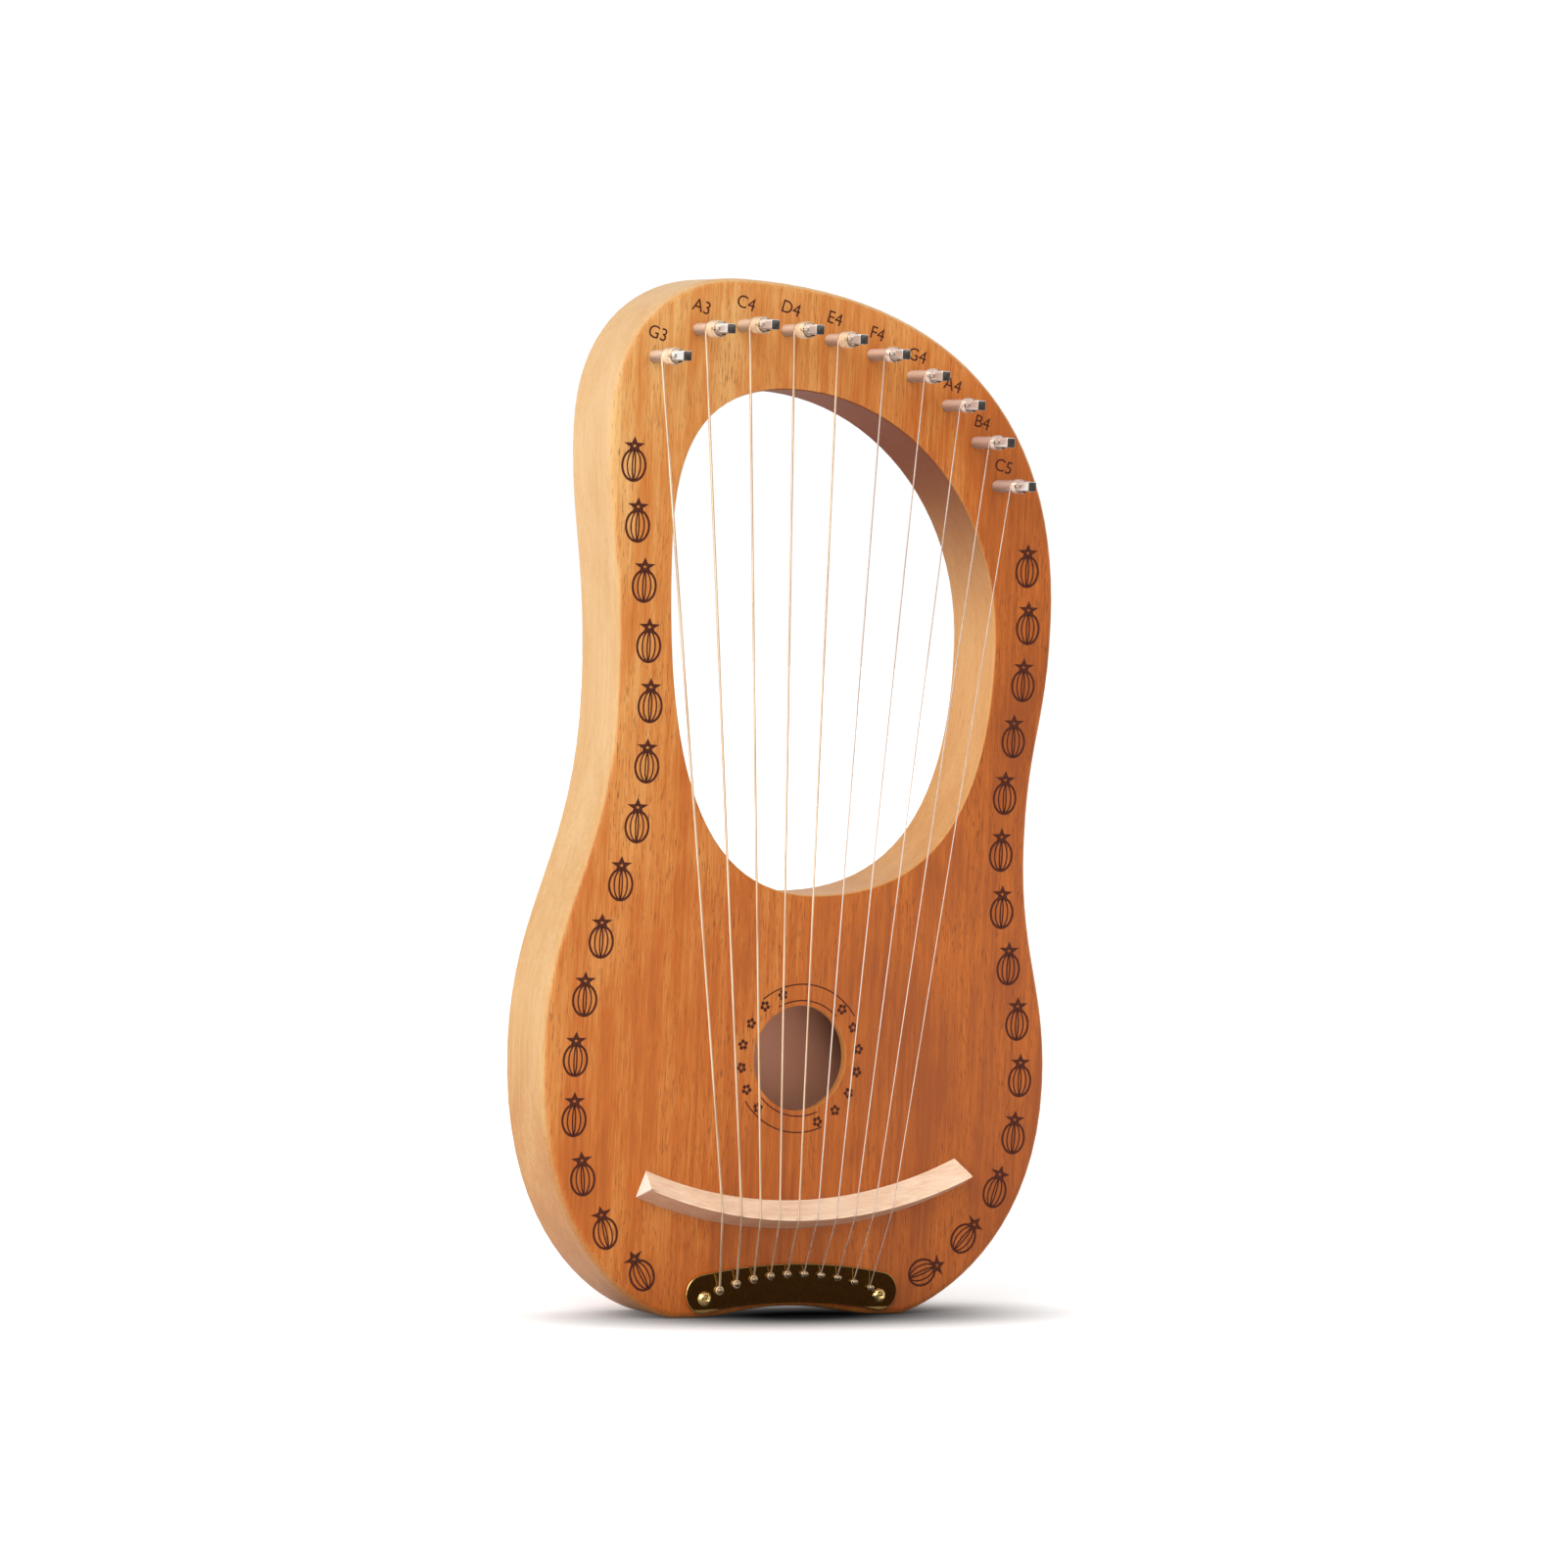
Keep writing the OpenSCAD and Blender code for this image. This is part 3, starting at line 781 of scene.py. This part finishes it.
# a wire that goes once round the pin where the string meets it, winds outwards and ends in the eye
def makeCoil(number, pinRadius, eyeDepth):
    low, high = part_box(f"string_coil_{number}")
    centre = pinCentre(number)
    wire = (high.x - low.x - 2 * pinRadius) / coil["squeeze"]
    start = high.y + wire + coil["gap"]
    radius = pinRadius + wire
    turns = 1 + round((start - eyeDepth) / (coil["tightness"] * wire))
    rise = (start - eyeDepth) / (turns - 1)
    count = turns * coil["pointsInTurn"]
    route = []
    for step in range(count + 1):
        turn = step / coil["pointsInTurn"]
        angle = 2 * math.pi * turn
        depth = start - rise * max(0.0, turn - 1)
        route.append((radius * math.cos(angle), depth, radius * math.sin(angle)))
    for share in coil["throughEye"]:
        route.append((share * radius, eyeDepth, 0.0))
    route.append((-radius - coil["tailOut"], eyeDepth, 0.0))
    path = bpy.data.curves.new(f"stringCoil{number}", "CURVE")
    path.dimensions = "3D"
    path.bevel_depth = wire
    path.bevel_resolution = coil["wireSides"] // 2
    path.use_fill_caps = True
    line = path.splines.new("POLY")
    line.points.add(len(route) - 1)
    for point, spot in zip(line.points, route):
        point.co = (*spot, 1.0)
    turned = bpy.data.objects.new(f"stringCoil{number}", path)
    scene.collection.objects.link(turned)
    turned.location = (centre.x, 0, centre.z)
    onlySelect(turned)
    bpy.ops.object.convert(target="MESH")
    turned = newestPiece(f"stringCoil{number}")
    applyPlace(turned)
    editMode(turned, "VERT")
    bpy.ops.mesh.select_all(action="SELECT")
    bpy.ops.mesh.remove_doubles(threshold=0.002 * mm)
    objectMode()
    return turned


def makePinsAndStrings(finishes):
    pattern, pinRadius, eyeDepth = modelPin()
    for number in stringNumbers:
        centre = pinCentre(number)
        wire = "wound" if number in woundNumbers else "plain"
        peg = placedCopy(pattern, f"tuningPin{number}", (centre.x, 0, centre.z))
        finishPiece(peg, f"pin_{number}", finishes["nickel"], 35, [f"tuning_pin_{number}"])
        turns = makeCoil(number, pinRadius, eyeDepth)
        finishPiece(turns, f"pin_{number}", finishes[wire], 60, [f"string_coil_{number}"])
        paint(nodes[f"string_{number}"], finishes[wire])
    discard(pattern)
    print("pins and strings made")


marks = {
    "proud": 0.06 * mm,  # the burnt marks stand this far out of the face
    "sunk": 0.04 * mm,
}


# an outline of an ellipse as a flat ring round a place, facing the front
def flatRing(width, height, line, middle, corners=36, lift=0.0):
    bpy.ops.mesh.primitive_circle_add(vertices=corners, radius=0.5, fill_type="NGON",
                                      location=(middle[0], -lift, middle[1]), rotation=upright)
    ring = bpy.context.object
    ring.scale = (width, height, 1)
    applyPlace(ring)
    editMode(ring)
    bpy.ops.mesh.select_all(action="SELECT")
    bpy.ops.mesh.inset(thickness=line, depth=0)
    bpy.ops.mesh.delete(type="FACE")
    objectMode()
    return ring


# a flat star with a small hole in it, one point up
def flatStar(width, height, middle, waist, hole, lift=0.0):
    bpy.ops.mesh.primitive_circle_add(vertices=10, radius=0.5, location=(0, -lift, 0), rotation=upright)
    star = bpy.context.object
    applyPlace(star)
    clearPicks(star.data)
    for index, corner in enumerate(star.data.vertices):
        corner.select = index % 2 == 1
    editMode(star, "VERT")
    bpy.ops.transform.resize(value=(waist, 1, waist), center_override=(0, 0, 0))
    bpy.ops.mesh.select_all(action="SELECT")
    bpy.ops.mesh.extrude_region_move()
    bpy.ops.transform.resize(value=(hole, 1, hole), center_override=(0, 0, 0))
    bpy.ops.mesh.select_all(action="SELECT")
    bpy.ops.mesh.normals_make_consistent(inside=False)
    objectMode()
    star.scale = (width, 1, height)
    star.location = (middle[0], 0, middle[1])
    applyPlace(star)
    return star


# gives flat shapes their thickness, from just inside the wood to just outside it
def thicken(piece):
    objectMode()
    if sum(face.normal.y for face in piece.data.polygons) > 0:
        editMode(piece)
        bpy.ops.mesh.select_all(action="SELECT")
        bpy.ops.mesh.flip_normals()
        objectMode()
    addModifier(piece, "SOLIDIFY", thickness=marks["proud"] + marks["sunk"], offset=-1.0)


berry = {
    "width": 11.2 * mm,
    "height": 13.2 * mm,
    "outline": 0.95 * mm,
    "ribWidths": (6.4 * mm, 1.9 * mm),
    "ribLine": 0.62 * mm,
    "drop": 2.3 * mm,  # how far the fruit's middle hangs under the ornament's middle
    "ribCorners": 32,
    "layer": 0.002 * mm,  # how much further out each rib lies, so that no two faces share a plane
    "crownSize": (9.8 * mm, 7.4 * mm),
    "crownRise": 5.2 * mm,
    "crownWaist": 0.42,  # the star's inner corners and its hole, as shares of its reach
    "crownHole": 0.22,
}
rows = {
    # inside is the distance from the body's edge, wave is how much that changes up the row, and
    # leanShare is how much of the edge's lean the lowest berries take
    "left": {"count": 15, "lowest": 19.2 * mm, "inside": 14.0 * mm, "wave": 3.1 * mm,
             "spacing": 23.5 * mm, "leanShare": 0.75},
    "right": {"count": 14, "lowest": 17.6 * mm, "inside": 12.2 * mm, "wave": 0.0,
              "spacing": 23.0 * mm, "leanShare": 1.45},
}
search = {
    "outside": 0.3,  # m, where the rays that find the edge start
    "below": 12 * mm,
    "step": 0.25 * mm,
    "waveLength": 315 * mm,
    "leanEnds": 90 * mm,  # the height where the berries stand upright
}


def modelBerry():
    middle = (0, -berry["drop"])
    rings = [flatRing(berry["width"], berry["height"], berry["outline"], middle)]
    for index, ribWidth in enumerate(berry["ribWidths"]):
        rings.append(flatRing(ribWidth, berry["height"] - berry["outline"], berry["ribLine"], middle,
                              berry["ribCorners"], berry["layer"] * (index + 1)))
    crown = flatStar(*berry["crownSize"], (0, berry["crownRise"]), berry["crownWaist"],
                     berry["crownHole"], 3 * berry["layer"])
    fruit = joined(rings + [crown], "berryPattern")
    thicken(fruit)
    return fruit


# the places of one row of berries: points inside the body's edge, each one spacing from the last
def rowPlaces(side, row):
    places = []
    height = row["lowest"] - search["below"]
    board = nodes["soundboard"]
    depth = (boardLow.y + boardHigh.y) / 2
    while len(places) < row["count"] and height < boardHigh.z:
        height += search["step"]
        start = Vector((side * search["outside"], depth, height))
        found, spot, normal, face = board.ray_cast(start, Vector((-side, 0, 0)))
        if not found:
            continue
        along = (height - row["lowest"]) / search["waveLength"]
        inset = row["inside"] - row["wave"] * math.cos(2 * math.pi * along)
        place = Vector((spot.x - normal.x * inset, 0, spot.z - normal.z * inset))
        if places:
            isNext = (place - places[-1][0]).length >= row["spacing"]
        else:
            isNext = place.z >= row["lowest"]
        if isNext:
            edgeLean = math.atan2(-normal.z, abs(normal.x))
            fade = max(0.0, 1 - place.z / search["leanEnds"])
            places.append((place, side * edgeLean * fade * row["leanShare"]))
    return places


def makeBerries(finishes):
    pattern = modelBerry()
    for side, name in ((-1, "left"), (1, "right")):
        for index, (place, lean) in enumerate(rowPlaces(side, rows[name])):
            spot = (place.x, faceY - marks["proud"], place.z)
            fruit = placedCopy(pattern, f"{name}Berry{index + 1}", spot, lean)
            finishPiece(fruit, "lyre_body", finishes["burnt"])
    discard(pattern)
    print("berries made")


wreath = {
    "radius": 26.85 * mm,
    "flowersInArc": 7,
    "arcStarts": (110, 290),  # degrees, anticlockwise from the right
    "step": 19.5,
    "petals": 5,
    "petalCorners": 12,
    "petalRadius": 0.80 * mm,
    "petalReach": 1.42 * mm,
    # radius of a line and the stretches of it that are drawn
    "lines": ((23.3 * mm, (48, 118), (222, 292)), (29.8 * mm, (34, 128), (214, 292))),
    "lineWidth": 0.5 * mm,
    "lineCorners": 144,
}


def modelFlower():
    petals = []
    for index in range(wreath["petals"]):
        angle = 2 * math.pi * index / wreath["petals"] + math.pi / 2
        bpy.ops.mesh.primitive_circle_add(
            vertices=wreath["petalCorners"], radius=wreath["petalRadius"], fill_type="NGON", rotation=upright,
            location=(wreath["petalReach"] * math.cos(angle), 0, wreath["petalReach"] * math.sin(angle)))
        petals.append(bpy.context.object)
        applyPlace(petals[-1])
    flower = joined(petals, "flowerPattern")
    thicken(flower)
    return flower


def makeWreath(finishes):
    pattern = modelFlower()
    number = 0
    for start in wreath["arcStarts"]:
        for index in range(wreath["flowersInArc"]):
            number += 1
            angle = math.radians(start + index * wreath["step"])
            place = (wreath["radius"] * math.cos(angle), faceY - marks["proud"],
                     holeHeight + wreath["radius"] * math.sin(angle))
            flower = placedCopy(pattern, f"wreathFlower{number}", place, math.pi / 2 - angle)
            finishPiece(flower, "lyre_body", finishes["burnt"])
    discard(pattern)
    for index, (radius, *stretches) in enumerate(wreath["lines"]):
        ring = flatRing(2 * radius, 2 * radius, wreath["lineWidth"], (0, 0), wreath["lineCorners"])

        def isLeftOut(centre, normal):
            angle = math.degrees(math.atan2(centre.z, centre.x)) % 360
            return not any(start <= angle <= end for start, end in stretches)

        pickFaces(ring, isLeftOut)
        bpy.ops.mesh.delete(type="FACE")
        objectMode()
        ring.location = (0, faceY - marks["proud"], holeHeight)
        applyPlace(ring)
        ring.name = f"wreathLine{index + 1}"
        thicken(ring)
        finishPiece(ring, "lyre_body", finishes["burnt"])
    print("wreath made")


labels = {
    "notes": ("G3", "A3", "C4", "D4", "E4", "F4", "G4", "A4", "B4", "C5"),
    "size": 7.2 * mm,
    "fromFirstPin": (0.9 * mm, 9.0 * mm),  # across and up from the pin, in even steps to the last one
    "fromLastPin": (2.4 * mm, 7.9 * mm),
    "lean": 14.0,  # degrees
}


# the plain name of the note beside each pin
def makeLabels(finishes):
    for number in stringNumbers:
        centre = pinCentre(number)
        bpy.ops.object.text_add(rotation=upright)
        text = bpy.context.object
        text.data.body = labels["notes"][number - 1]
        text.data.size = labels["size"]
        text.data.extrude = (marks["proud"] + marks["sunk"]) / 2
        text.data.align_x = "CENTER"
        text.data.align_y = "CENTER"
        text.data.resolution_u = 4
        bpy.ops.object.convert(target="MESH")
        applyPlace(text)
        share = (number - 1) / (len(stringNumbers) - 1)
        across, up = ((1 - share) * first + share * last
                      for first, last in zip(labels["fromFirstPin"], labels["fromLastPin"]))
        text.location = (centre.x + across, faceY - (marks["proud"] - marks["sunk"]) / 2, centre.z + up)
        text.rotation_euler = (0, math.radians(labels["lean"]), 0)
        applyPlace(text)
        text.name = f"noteName{number}"
        text.data.name = text.name
        editMode(text, "VERT")
        bpy.ops.mesh.select_all(action="SELECT")
        bpy.ops.mesh.remove_doubles(threshold=0.002 * mm)
        objectMode()
        finishPiece(text, "lyre_body", finishes["burnt"])
    print("note names made")


makeCamera()
makeWorld()
makeLights()
makeFloor()
makeCards()
print("studio made")
finishes = makeFinishes()
print("finishes made")
makeBerries(finishes)  # before the body, because a replaced node can't be measured by ray
makeBody(finishes)
makeBridge(finishes)
makeTail(finishes)
makePinsAndStrings(finishes)
makeWreath(finishes)
makeLabels(finishes)
